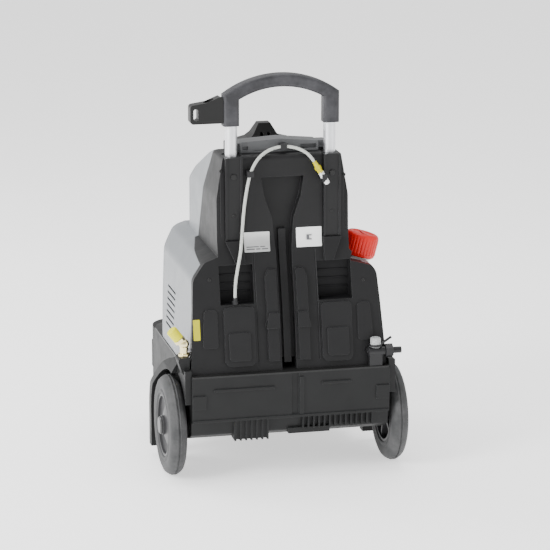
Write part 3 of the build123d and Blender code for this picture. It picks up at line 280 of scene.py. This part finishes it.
def make_materials():
    m = {
        "base_plastic": moulded("base_black", (0.0075, 0.0078, 0.008), 0.5, painted_edge_highlight=7.0, specular=0.24),
        "shell_plastic": moulded("shell_black", (0.0095, 0.0095, 0.010), 0.46, painted_edge_highlight=7.0, specular=0.24),
        "sleeve_plastic": moulded("sleeve_black", (0.007, 0.007, 0.0075), 0.42, painted_edge_highlight=8.0, specular=0.28),
        "crossbar_plastic": moulded("crossbar_grey", (0.085, 0.087, 0.09), 0.45, painted_edge_highlight=2.0, specular=0.3),
        "panel_plastic": moulded("panel_black", (0.010, 0.010, 0.011), 0.45, painted_edge_highlight=3.0, specular=0.28),
        "hood_plastic": hood_material(),
        "cowl_metal": moulded("cowl_black", (0.004, 0.004, 0.004), 0.38, painted_edge_highlight=8.0, specular=0.25),
        "plate_silver": metal("plate_silver", (0.66, 0.67, 0.66), 0.35, (40, 1, 1)),
        "label_white": moulded("label_white", (0.84, 0.85, 0.84), 0.4, painted_edge_highlight=1.0),
        "marker_yellow": moulded("marker_yellow", (0.46, 0.43, 0.012), 0.4, painted_edge_highlight=1.1, specular=0.3),
        "steel_small": metal("steel_bright", (0.55, 0.55, 0.56), 0.28),
        "sheet_steel": moulded("powder_coat_black", (0.012, 0.012, 0.012), 0.4, painted_edge_highlight=3.0, specular=0.3),
        "bumper_rubber": rubber("bumper_rubber", (0.011, 0.011, 0.011), 0.6, (0.03, 0.03, 0.03)),
        "tyre_rubber": rubber("tyre_rubber", (0.034, 0.035, 0.036), 0.62, (0.085, 0.085, 0.086)),
        "pedal_plastic": moulded("pedal_red", (0.45, 0.03, 0.02), 0.4),
        "grip_rubber": rubber("grip_rubber", (0.022, 0.022, 0.025), 0.5, (0.06, 0.06, 0.066), 900.0),
        "holder_plastic": moulded("holder_black", (0.008, 0.008, 0.008), 0.4, painted_edge_highlight=6.0, specular=0.3),
        "tank_plastic": see_through("tank_plastic", (0.72, 0.72, 0.66), 0.4, 0.2),
        "cap_red": moulded("cap_red", (0.66, 0.010, 0.006), 0.38, painted_edge_highlight=1.05, spots=0.05, specular=0.3),
        "inlet_plastic": moulded("inlet_black", (0.013, 0.013, 0.014), 0.4, painted_edge_highlight=4.0, specular=0.3),
        "strainer_clear": see_through("strainer_clear", (0.7, 0.72, 0.72), 0.25, 0.5),
        "motor_alloy": metal("motor_alloy", (0.5, 0.5, 0.5), 0.5, (8, 8, 8)),
        "pump_brass": metal("pump_brass", (0.62, 0.45, 0.2), 0.35, (8, 8, 8)),
        "pipe_steel": metal("pipe_steel", (0.5, 0.5, 0.52), 0.3),
        "outlet_brass": metal("outlet_brass", (0.86, 0.76, 0.42), 0.24, (8, 8, 8)),
        "cap_yellow": moulded("cap_yellow", (0.66, 0.63, 0.0), 0.38, painted_edge_highlight=1.0, spots=0.03, specular=0.3),
        "boiler_steel": metal("boiler_steel", (0.55, 0.55, 0.55), 0.35, (1, 1, 40)),
        "burner_paint": moulded("burner_black", (0.05, 0.05, 0.05), 0.5),
        "knob_plastic": moulded("knob_black", (0.010, 0.010, 0.010), 0.38, painted_edge_highlight=5.0, specular=0.3),
        "hose_plastic": see_through("hose_grey", (0.62, 0.64, 0.60), 0.25, 0.25),
        "filter_plastic": moulded("filter_yellow", (0.52, 0.45, 0.008), 0.35, painted_edge_highlight=1.1, specular=0.3),
        "rim_plastic": moulded("rim_black", (0.040, 0.040, 0.042), 0.42, painted_edge_highlight=2.2, specular=0.4),
        "hub_plastic": moulded("hub_black", (0.035, 0.035, 0.036), 0.36, painted_edge_highlight=2.4),
        "tube_aluminium": metal("tube_aluminium", (0.80, 0.81, 0.83), 0.38, (60, 60, 1)),
        "liner_black": moulded("liner_black", (0.0035, 0.0035, 0.004), 0.6, painted_edge_highlight=3.0, specular=0.2),
        "print_grey": moulded("print_grey", (0.10, 0.10, 0.11), 0.5, painted_edge_highlight=1.0),
        "lamp_green": moulded("lamp_green", (0.05, 0.35, 0.08), 0.2, painted_edge_highlight=1.1),
        "lamp_amber": moulded("lamp_amber", (0.55, 0.28, 0.03), 0.2, painted_edge_highlight=1.1),
        "lamp_red": moulded("lamp_red", (0.5, 0.03, 0.02), 0.2, painted_edge_highlight=1.1),
    }
    return m


MATERIALS = make_materials()


def dress_frame():
    """Each carried-over CAD node takes the material of its record slot."""
    slots = {row["node"]: row["material_slot"] for row in frame["record"]["subparts"]}
    for node, obj in frame["nodes"].items():
        if not obj.material_slots:
            obj.data.materials.append(None)
        for place in obj.material_slots:
            place.material = MATERIALS[slots[node]]


# ---- mesh helpers ---------------------------------------------------------
def new_piece(name, bm, slot, body="root", smooth=35.0, replaces=()):
    """Turn a bmesh into a piece that rides on a body and takes one of the record's finishes."""
    bmesh.ops.recalc_face_normals(bm, faces=bm.faces)
    mesh = bpy.data.meshes.new(name)
    bm.to_mesh(mesh)
    bm.free()
    obj = bpy.data.objects.new(name, mesh)
    bpy.context.scene.collection.objects.link(obj)
    mesh.materials.append(MATERIALS[slot])
    for face in mesh.polygons:
        face.use_smooth = True
    mesh.set_sharp_from_angle(angle=math.radians(smooth))
    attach(obj, body)
    if replaces:
        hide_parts(*replaces)
    return obj


def centre(node):
    low, high = (Vector(v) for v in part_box(node))
    return (low + high) / 2


def axes(place, direction, up=(0, 0, 1)):
    """A matrix whose local +Z points along a direction."""
    z = Vector(direction).normalized()
    side = Vector(up).cross(z)
    if side.length < 1e-4:
        side = Vector((1, 0, 0)).cross(z)
    x = side.normalized()
    y = z.cross(x)
    turn = Matrix((x, y, z)).transposed().to_4x4()
    return Matrix.Translation(Vector(place)) @ turn


def lathe(bm, profile, place, steps=96, shape=None):
    """Revolve (radius, height) points round local Z; shape may change the radius by angle and point."""
    rings = []
    for i in range(steps):
        angle = 2 * math.pi * i / steps
        ring = []
        for k, (r, h) in enumerate(profile):
            if shape is not None:
                r = shape(r, k, i)
            point = Vector((r * math.cos(angle), r * math.sin(angle), h))
            ring.append(bm.verts.new(place @ point))
        rings.append(ring)
    for i in range(steps):
        a, b = rings[i], rings[(i + 1) % steps]
        for k in range(len(profile) - 1):
            bm.faces.new((a[k], b[k], b[k + 1], a[k + 1]))
    return rings


def close_ends(bm, rings):
    bm.faces.new([ring[0] for ring in rings])
    bm.faces.new([ring[-1] for ring in rings][::-1])


def rounded_block(bm, low, high, radius, place=Matrix.Identity(4), segments=3):
    """A block with rounded edges, added to a bmesh."""
    made = bmesh.ops.create_cube(bm, size=1.0)
    verts = made["verts"]
    low, high = Vector(low), Vector(high)
    for v in verts:
        v.co = Vector(((v.co.x + 0.5) * (high.x - low.x) + low.x, (v.co.y + 0.5) * (high.y - low.y) + low.y,
                       (v.co.z + 0.5) * (high.z - low.z) + low.z))
    edges = list({e for v in verts for e in v.link_edges})
    out = bmesh.ops.bevel(bm, geom=edges, offset=radius, segments=segments, profile=0.5, affect="EDGES")
    moved = {v for f in out["faces"] for v in f.verts} | {v for v in verts if v.is_valid}
    for v in moved:
        v.co = place @ v.co


# ---- wheels ---------------------------------------------------------------
TREAD_STEPS = 180


def tyre_profile(radius, width, rim):
    """(radius, height) points from the inner bead, over the tread, to the outer bead."""
    w = width
    r = radius
    half = [(rim, 0.0), (rim + 0.003, -0.003), (rim + 0.008, -0.0033), (rim + 0.011, -0.0012),
            (rim + 0.014, -0.0022), (r - 0.024, -0.0038), (r - 0.016, -0.0030), (r - 0.0095, -0.0002),
            (r - 0.0052, 0.0042), (r - 0.0022, 0.0090), (r - 0.0008, 0.0130), (r, w * 0.38)]
    groove = [(r - 0.0003, w * 0.455), (r - 0.0028, w * 0.468), (r - 0.0030, w * 0.5)]
    left = half + groove
    right = [(a, w - h) for a, h in left[:-1][::-1]]
    return left + right


def add_tyre(side):
    """Solid tyre: beads, a raised wall band, and a tread of fine cross cuts beside its groove."""
    name = "left" if side < 0 else "right"
    low, high = (Vector(v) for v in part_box("tyre_" + name))
    middle = (low + high) / 2
    radius = (high.z - low.z) / 2
    width = (high.x - low.x) - 0.0076
    rim_low, rim_high = (Vector(v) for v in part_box("wheel_rim_" + name))
    rim = (rim_high.z - rim_low.z) / 2
    profile = tyre_profile(radius, width, rim)
    cut = {i for i, (r, _) in enumerate(profile) if r > radius - 0.0012}

    def tread(r, k, i):
        return r - 0.0014 if k in cut and i % 5 == 0 else r

    start = Vector((middle.x - side * width / 2, middle.y, middle.z))
    bm = bmesh.new()
    rings = lathe(bm, profile, axes(start, (side, 0, 0)), TREAD_STEPS, tread)
    for i in range(TREAD_STEPS):
        a, b = rings[i], rings[(i + 1) % TREAD_STEPS]
        bm.faces.new((a[-1], b[-1], b[0], a[0]))
    new_piece("tyre_" + name + "_rubber", bm, "tyre_rubber", "wheel_" + name, 50.0, ("tyre_" + name,))


# ---- back -----------------------------------------------------------------
POCKET_FLOOR = 0.0035              # the wall below and above the pocket's opening
POCKET_W = 0.085
POCKET_BACK = -0.212
POCKET_MOUTH_TOP = -0.206          # the sloped mouth's upper and lower edges
POCKET_MOUTH_LOW = -0.243
LINER_T = 0.0012
LINER_GAP = 0.0006
TUBE_X = abs(centre("handle_tube_left").x)


def add_pocket_liner(side):
    """Dark moulded liner inside a pocket, open to the rear, with three ribs across its back."""
    name = "left" if side < 0 else "right"
    row = next(o for o in frame["record"]["physics"]["openings"] if o["name"] == "pocket_" + name)
    low, high = (Vector(v) for v in row["box_m"])
    x = TUBE_X * side
    half = POCKET_W / 2 - LINER_GAP
    z0, z1 = low.z - POCKET_FLOOR, high.z + POCKET_FLOOR
    bm = bmesh.new()
    outer = [(x - half, z0), (x + half, z0), (x + half, z1), (x - half, z1)]
    back = POCKET_BACK - LINER_GAP
    front = [bm.verts.new((a, POCKET_MOUTH_LOW if b == z0 else POCKET_MOUTH_TOP, b)) for a, b in outer]
    deep = [bm.verts.new((a, back, b)) for a, b in outer]
    for k in range(4):
        bm.faces.new((front[k], front[(k + 1) % 4], deep[(k + 1) % 4], deep[k]))
    bm.faces.new(deep)
    bmesh.ops.recalc_face_normals(bm, faces=bm.faces)
    bmesh.ops.solidify(bm, geom=bm.faces, thickness=LINER_T)
    edges = [e for e in bm.edges if abs(e.verts[0].co.y - e.verts[1].co.y) > 0.01]
    bmesh.ops.bevel(bm, geom=edges, offset=0.0005, segments=2, profile=0.5, affect="EDGES")
    for k in range(3):
        z = z0 + 0.024 + k * 0.021
        rounded_block(bm, (x - half + 0.004, back - 0.0022, z), (x + half - 0.004, back, z + 0.004), 0.0008)
    new_piece("pocket_liner_" + name, bm, "liner_black")


def islands(obj):
    """The vertices of each loose piece of a mesh."""
    bm = bmesh.new()
    bm.from_mesh(obj.data)
    bmesh.ops.remove_doubles(bm, verts=bm.verts, dist=1e-6)
    seen, groups = set(), []
    for start in bm.verts:
        if start in seen:
            continue
        stack, group = [start], []
        seen.add(start)
        while stack:
            v = stack.pop()
            group.append(v.co.copy())
            for e in v.link_edges:
                other = e.other_vert(v)
                if other not in seen:
                    seen.add(other)
                    stack.append(other)
        groups.append(group)
    bm.free()
    return groups


SCREW_STEPS = 36
SCREW_SINK = 0.0008                # the head starts this far under its seat
SCREW_HEAD = [(0.0044, 0.0), (0.0044, 0.0008), (0.0040, 0.0014), (0.0030, 0.0019), (0.0021, 0.0020)]
SCREW_RECESS = [(0.0019, 0.0019), (0.0016, 0.0007), (0.0003, 0.0006)]


def add_screws():
    """Pan-head screws with a six-lobed recess in place of the plain heads."""

    def lobes(r, k, i):
        turn = 6 * 2 * math.pi * i / SCREW_STEPS
        return r * (1 + 0.14 * math.cos(turn)) if k >= len(SCREW_HEAD) else r

    bm = bmesh.new()
    for points in islands(frame["nodes"]["shell_screws"]):
        low = Vector([min(p[i] for p in points) for i in range(3)])
        high = Vector([max(p[i] for p in points) for i in range(3)])
        middle = (low + high) / 2
        rear = [p for p in points if p.y < middle.y]
        up = max(rear, key=lambda p: p.z) - min(rear, key=lambda p: p.z)
        normal = Vector((1, 0, 0)).cross(up).normalized()
        if normal.y > 0:
            normal = -normal
        place = axes(middle - normal * SCREW_SINK, normal)
        close_ends(bm, lathe(bm, SCREW_HEAD + SCREW_RECESS, place, SCREW_STEPS, lobes))
    new_piece("screw_heads", bm, "knob_plastic", "root", 40.0, ("shell_screws",))


def plate_frame(node):
    """A point on a label plate's lower edge, its upward and outward directions, and its vertices."""
    obj = frame["nodes"][node]
    points = [v.co.copy() for v in obj.data.vertices]
    low_row = min(points, key=lambda p: (round(p.z, 4), p.y))
    high_row = min((p for p in points if p.z > max(q.z for q in points) - 1e-4), key=lambda p: p.y)
    up = high_row - low_row
    up.x = 0
    up.normalize()
    normal = Vector((1, 0, 0)).cross(up)
    if normal.y > 0:
        normal = -normal
    return low_row, up, normal, points


PRINT_LIFT = 0.00002
PRINT_T = 0.00018


def add_label_print(node, name, bars, slot):
    """Thin raised bars that stand for generic print on a plate, given as shares of its size."""
    low_row, up, normal, points = plate_frame(node)
    x0 = min(p.x for p in points)
    x1 = max(p.x for p in points)
    z0 = min(p.z for p in points)
    z1 = max(p.z for p in points)
    bm = bmesh.new()
    height = (z1 - z0) / up.z
    origin = Vector((x0, low_row.y, z0))
    for u0, v0, u1, v1 in bars:
        corners = []
        for u, v in ((u0, v0), (u1, v0), (u1, v1), (u0, v1)):
            corners.append(origin + Vector((u * (x1 - x0), 0, 0)) + up * (v * height) + normal * PRINT_LIFT)
        flat = [bm.verts.new(c) for c in corners]
        face = bm.faces.new(flat)
        out = bmesh.ops.extrude_face_region(bm, geom=[face])
        for v in (g for g in out["geom"] if isinstance(g, bmesh.types.BMVert)):
            v.co += normal * PRINT_T
    new_piece(name, bm, slot)


TYPE_BARS = [(0.08, 0.12, 0.40, 0.17), (0.46, 0.12, 0.62, 0.17), (0.68, 0.12, 0.92, 0.17),
             (0.08, 0.24, 0.56, 0.28), (0.62, 0.24, 0.80, 0.28)]
INFO_BARS = [(0.40, 0.36, 0.50, 0.62), (0.50, 0.36, 0.60, 0.41), (0.50, 0.57, 0.60, 0.62)]


# ---- fuel cap, hose, inlet strap ------------------------------------------
CAP_RIBS = 30
CAP_STEPS = 240
CAP_RIB_DEPTH = 0.0016
CAP_RIM_OUT = 0.002                # the moulding stands this far out from the plain cap
CAP_RISE = 0.008                   # and this far above it


def tilt_axis(joint):
    """A joint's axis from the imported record."""
    row = next(j for j in frame["record"]["behaviour"]["joints"] if j["name"] == joint)
    return Vector(row["axis"]).normalized(), row


def add_filler_cap():
    """Ribbed fuel cap with a rolled top rim, a shallow dished top and a raised finger bar."""
    axis, row = tilt_axis("filler_turn")
    points = [v.co.copy() for v in frame["nodes"]["filler_cap"].data.vertices]
    base = Vector(row["pos_m"])
    low = min((p - base).dot(axis) for p in points)
    high = max((p - base).dot(axis) for p in points)
    radius = max(((p - base) - axis * (p - base).dot(axis)).length for p in points)
    tall = high - low
    place = axes(base + axis * low, axis)
    r = radius + CAP_RIM_OUT
    tall += CAP_RISE
    profile = [(0.0105, 0.0), (r - 0.005, 0.0), (r - 0.0022, 0.0006), (r - 0.0012, 0.0030),
               (r - 0.0012, 0.0062), (r, 0.0074), (r, 0.0085), (r, tall * 0.3), (r, tall * 0.5),
               (r, tall * 0.68), (r - 0.0004, tall - 0.0120), (r - 0.0016, tall - 0.0070),
               (r - 0.0042, tall - 0.0030), (r - 0.0080, tall - 0.0008), (r - 0.0120, tall - 0.0002),
               (r - 0.0145, tall - 0.0010), (r - 0.0165, tall - 0.0026), (0.004, tall - 0.0030)]
    ribbed = {5, 6, 7, 8, 9, 10}

    def knurl(rad, k, i):
        wave = abs(math.sin(math.pi * i * CAP_RIBS / CAP_STEPS))
        return rad - CAP_RIB_DEPTH * (1 - wave) ** 2 if k in ribbed else rad

    bm = bmesh.new()
    close_ends(bm, lathe(bm, profile, place, CAP_STEPS, knurl))
    bar = 0.0045
    rounded_block(bm, (-r + 0.018, -bar, tall - 0.0035), (r - 0.018, bar, tall - 0.0003), 0.0012, place)
    new_piece("filler_cap_moulding", bm, "cap_red", "filler_cap", 45.0, ("filler_cap",))


HOSE_POINTS = [
    (-0.128, -0.244, 0.455), (-0.128, -0.244, 0.488), (-0.121, -0.242, 0.527), (-0.112, -0.236, 0.566),
    (-0.107, -0.229, 0.606), (-0.103, -0.223, 0.646), (-0.098, -0.220, 0.686), (-0.092, -0.219, 0.722),
    (-0.084, -0.217, 0.755), (-0.070, -0.212, 0.783), (-0.048, -0.203, 0.802), (-0.022, -0.192, 0.811),
    (0.006, -0.186, 0.814), (0.032, -0.190, 0.811), (0.054, -0.198, 0.803), (0.070, -0.206, 0.790),
    (0.079, -0.213, 0.774),
]
HOSE_D = 0.008


def add_hose():
    """The detergent suction hose, from the pocket's gland to its filter."""
    curve = bpy.data.curves.new("detergent_hose", "CURVE")
    curve.dimensions = "3D"
    curve.bevel_depth = HOSE_D / 2
    curve.bevel_resolution = 6
    curve.resolution_u = 12
    spline = curve.splines.new("NURBS")
    spline.points.add(len(HOSE_POINTS) - 1)
    for point, place in zip(spline.points, HOSE_POINTS):
        point.co = (*place, 1.0)
    spline.order_u = 3
    spline.use_endpoint_u = True
    hose = bpy.data.objects.new("detergent_hose", curve)
    bpy.context.scene.collection.objects.link(hose)
    curve.materials.append(MATERIALS["hose_plastic"])
    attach(hose, "root")
    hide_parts("suction_hose")
    return hose


FILTER_COLLAR = 0.028              # the yellow part; the basket beyond it is pale
FILTER_OVERLAP = 0.004             # how far the tail reaches back into the hose
FILTER_STEPS = 60


def add_filter():
    """Suction filter: a barbed tail, a hexagonal nut, a pale ribbed basket and a round nose."""
    end = Vector(HOSE_POINTS[-1])
    direction = (end - Vector(HOSE_POINTS[-2])).normalized()
    place = axes(end - direction * FILTER_OVERLAP, direction)
    profile = [(0.0042, 0.0), (0.0056, 0.0012), (0.0056, 0.0040), (0.0048, 0.0050), (0.0058, 0.0066),
               (0.0060, 0.0130), (0.0074, 0.0138), (0.0078, 0.0146), (0.0078, 0.0215), (0.0072, 0.0226),
               (0.0066, 0.0240), (0.0066, 0.0300), (0.0075, 0.0308), (0.0075, 0.0332), (0.0066, 0.0340),
               (0.0066, 0.0400), (0.0075, 0.0408), (0.0075, 0.0432), (0.0066, 0.0440), (0.0066, 0.0590),
               (0.0058, 0.0625), (0.0030, 0.0638), (0.0008, 0.0640)]

    def faces(r, k, i):
        if 6 <= k <= 9:
            turn = (2 * math.pi * i / FILTER_STEPS) % (math.pi / 3) - math.pi / 6
            return r * math.cos(math.pi / 6) / math.cos(turn) * 1.02
        if k in (10, 11, 14, 15, 18, 19) and i % 6 < 2:
            return r - 0.0009
        return r

    bm = bmesh.new()
    close_ends(bm, lathe(bm, profile, place, FILTER_STEPS, faces))
    piece = new_piece("suction_filter_basket", bm, "filter_plastic", "root", 40.0, ("suction_filter",))
    piece.data.materials.append(MATERIALS["label_white"])
    for face in piece.data.polygons:
        if (face.center - end).dot(direction) > FILTER_COLLAR:
            face.material_index = 1
    return piece


LOOP_STEPS = 64


def add_inlet_strap():
    """Retaining strap of the water inlet's dust cap: a flat band that ends in an open loop."""
    low, high = (Vector(v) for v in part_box("inlet_strainer_bowl"))
    loop_at = Vector(((low.x + high.x) / 2, low.y - 0.002, low.z + 0.004))
    far = Vector((high.x + 0.022, low.y - 0.004, high.z + 0.004))
    rear = Vector((0, -1, 0))
    along = (far - loop_at).normalized()
    across = along.cross(rear).normalized()
    bm = bmesh.new()
    place = Matrix((along, across, rear)).transposed().to_4x4()
    place.translation = loop_at
    length = (far - loop_at).length
    rounded_block(bm, (0.0135, -0.0032, 0.0), (length, 0.0032, 0.0022), 0.0009, place)
    loop_profile = [(0.0138, -0.0030), (0.0160, -0.0022), (0.0166, 0.0), (0.0160, 0.0022), (0.0138, 0.0030),
                    (0.0134, 0.0)]
    middle = Vector(((low.x + high.x) / 2, (low.y + high.y) / 2, low.z + 0.004))
    rings = lathe(bm, loop_profile, Matrix.Translation(middle), LOOP_STEPS)
    for i in range(LOOP_STEPS):
        a, b = rings[i], rings[(i + 1) % LOOP_STEPS]
        bm.faces.new((a[-1], b[-1], b[0], a[0]))
    new_piece("inlet_strap", bm, "inlet_plastic")


# ---- front panel ----------------------------------------------------------
TICKS = 10
TICK_HALF = 0.0007
TICK_T = 0.0004
TICK_GAP = 0.003                   # from the knob's edge to a tick


def add_panel_scale():
    """Raised tick marks round the switch knob and three small indicator lamps above it."""
    knob = centre("switch_knob")
    low, high = (Vector(v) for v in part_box("control_panel"))
    face_y = high.y - 0.004
    low_k, high_k = (Vector(v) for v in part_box("switch_knob"))
    radius = (high_k.x - low_k.x) / 2
    bm = bmesh.new()
    turn_z = (low_k.z + high_k.z) / 2
    near = radius + TICK_GAP
    for k in range(TICKS):
        angle = math.radians(-135 + 30 * k)
        turn = Matrix.Translation((knob.x, face_y, turn_z)) @ Matrix.Rotation(angle, 4, "Y")
        long = 0.0055 if k % 3 == 0 else 0.0035
        rounded_block(bm, (-TICK_HALF, 0.0, near), (TICK_HALF, TICK_T, near + long), 0.0002, turn, 1)
    new_piece("knob_scale", bm, "label_white")
    for k, slot in enumerate(("lamp_green", "lamp_amber", "lamp_red")):
        bm = bmesh.new()
        place = axes((low.x + 0.018 + 0.012 * k, face_y, high.z - 0.014), (0, 1, 0))
        profile = [(0.0040, 0.0), (0.0040, 0.0010), (0.0033, 0.0012), (0.0031, 0.0020), (0.0020, 0.0030),
                   (0.0003, 0.0033)]
        close_ends(bm, lathe(bm, profile, place, 32))
        new_piece("lamp_%d" % k, bm, slot)


add_camera()
add_studio()
add_floor()
dress_frame()
hose = add_hose()
filter_piece = add_filter()
for side in (-1, 1):
    add_tyre(side)
    add_pocket_liner(side)
add_screws()
add_filler_cap()
add_inlet_strap()
add_label_print("type_plate", "type_plate_print", TYPE_BARS, "print_grey")
add_label_print("info_label", "info_label_print", INFO_BARS, "print_grey")
add_panel_scale()
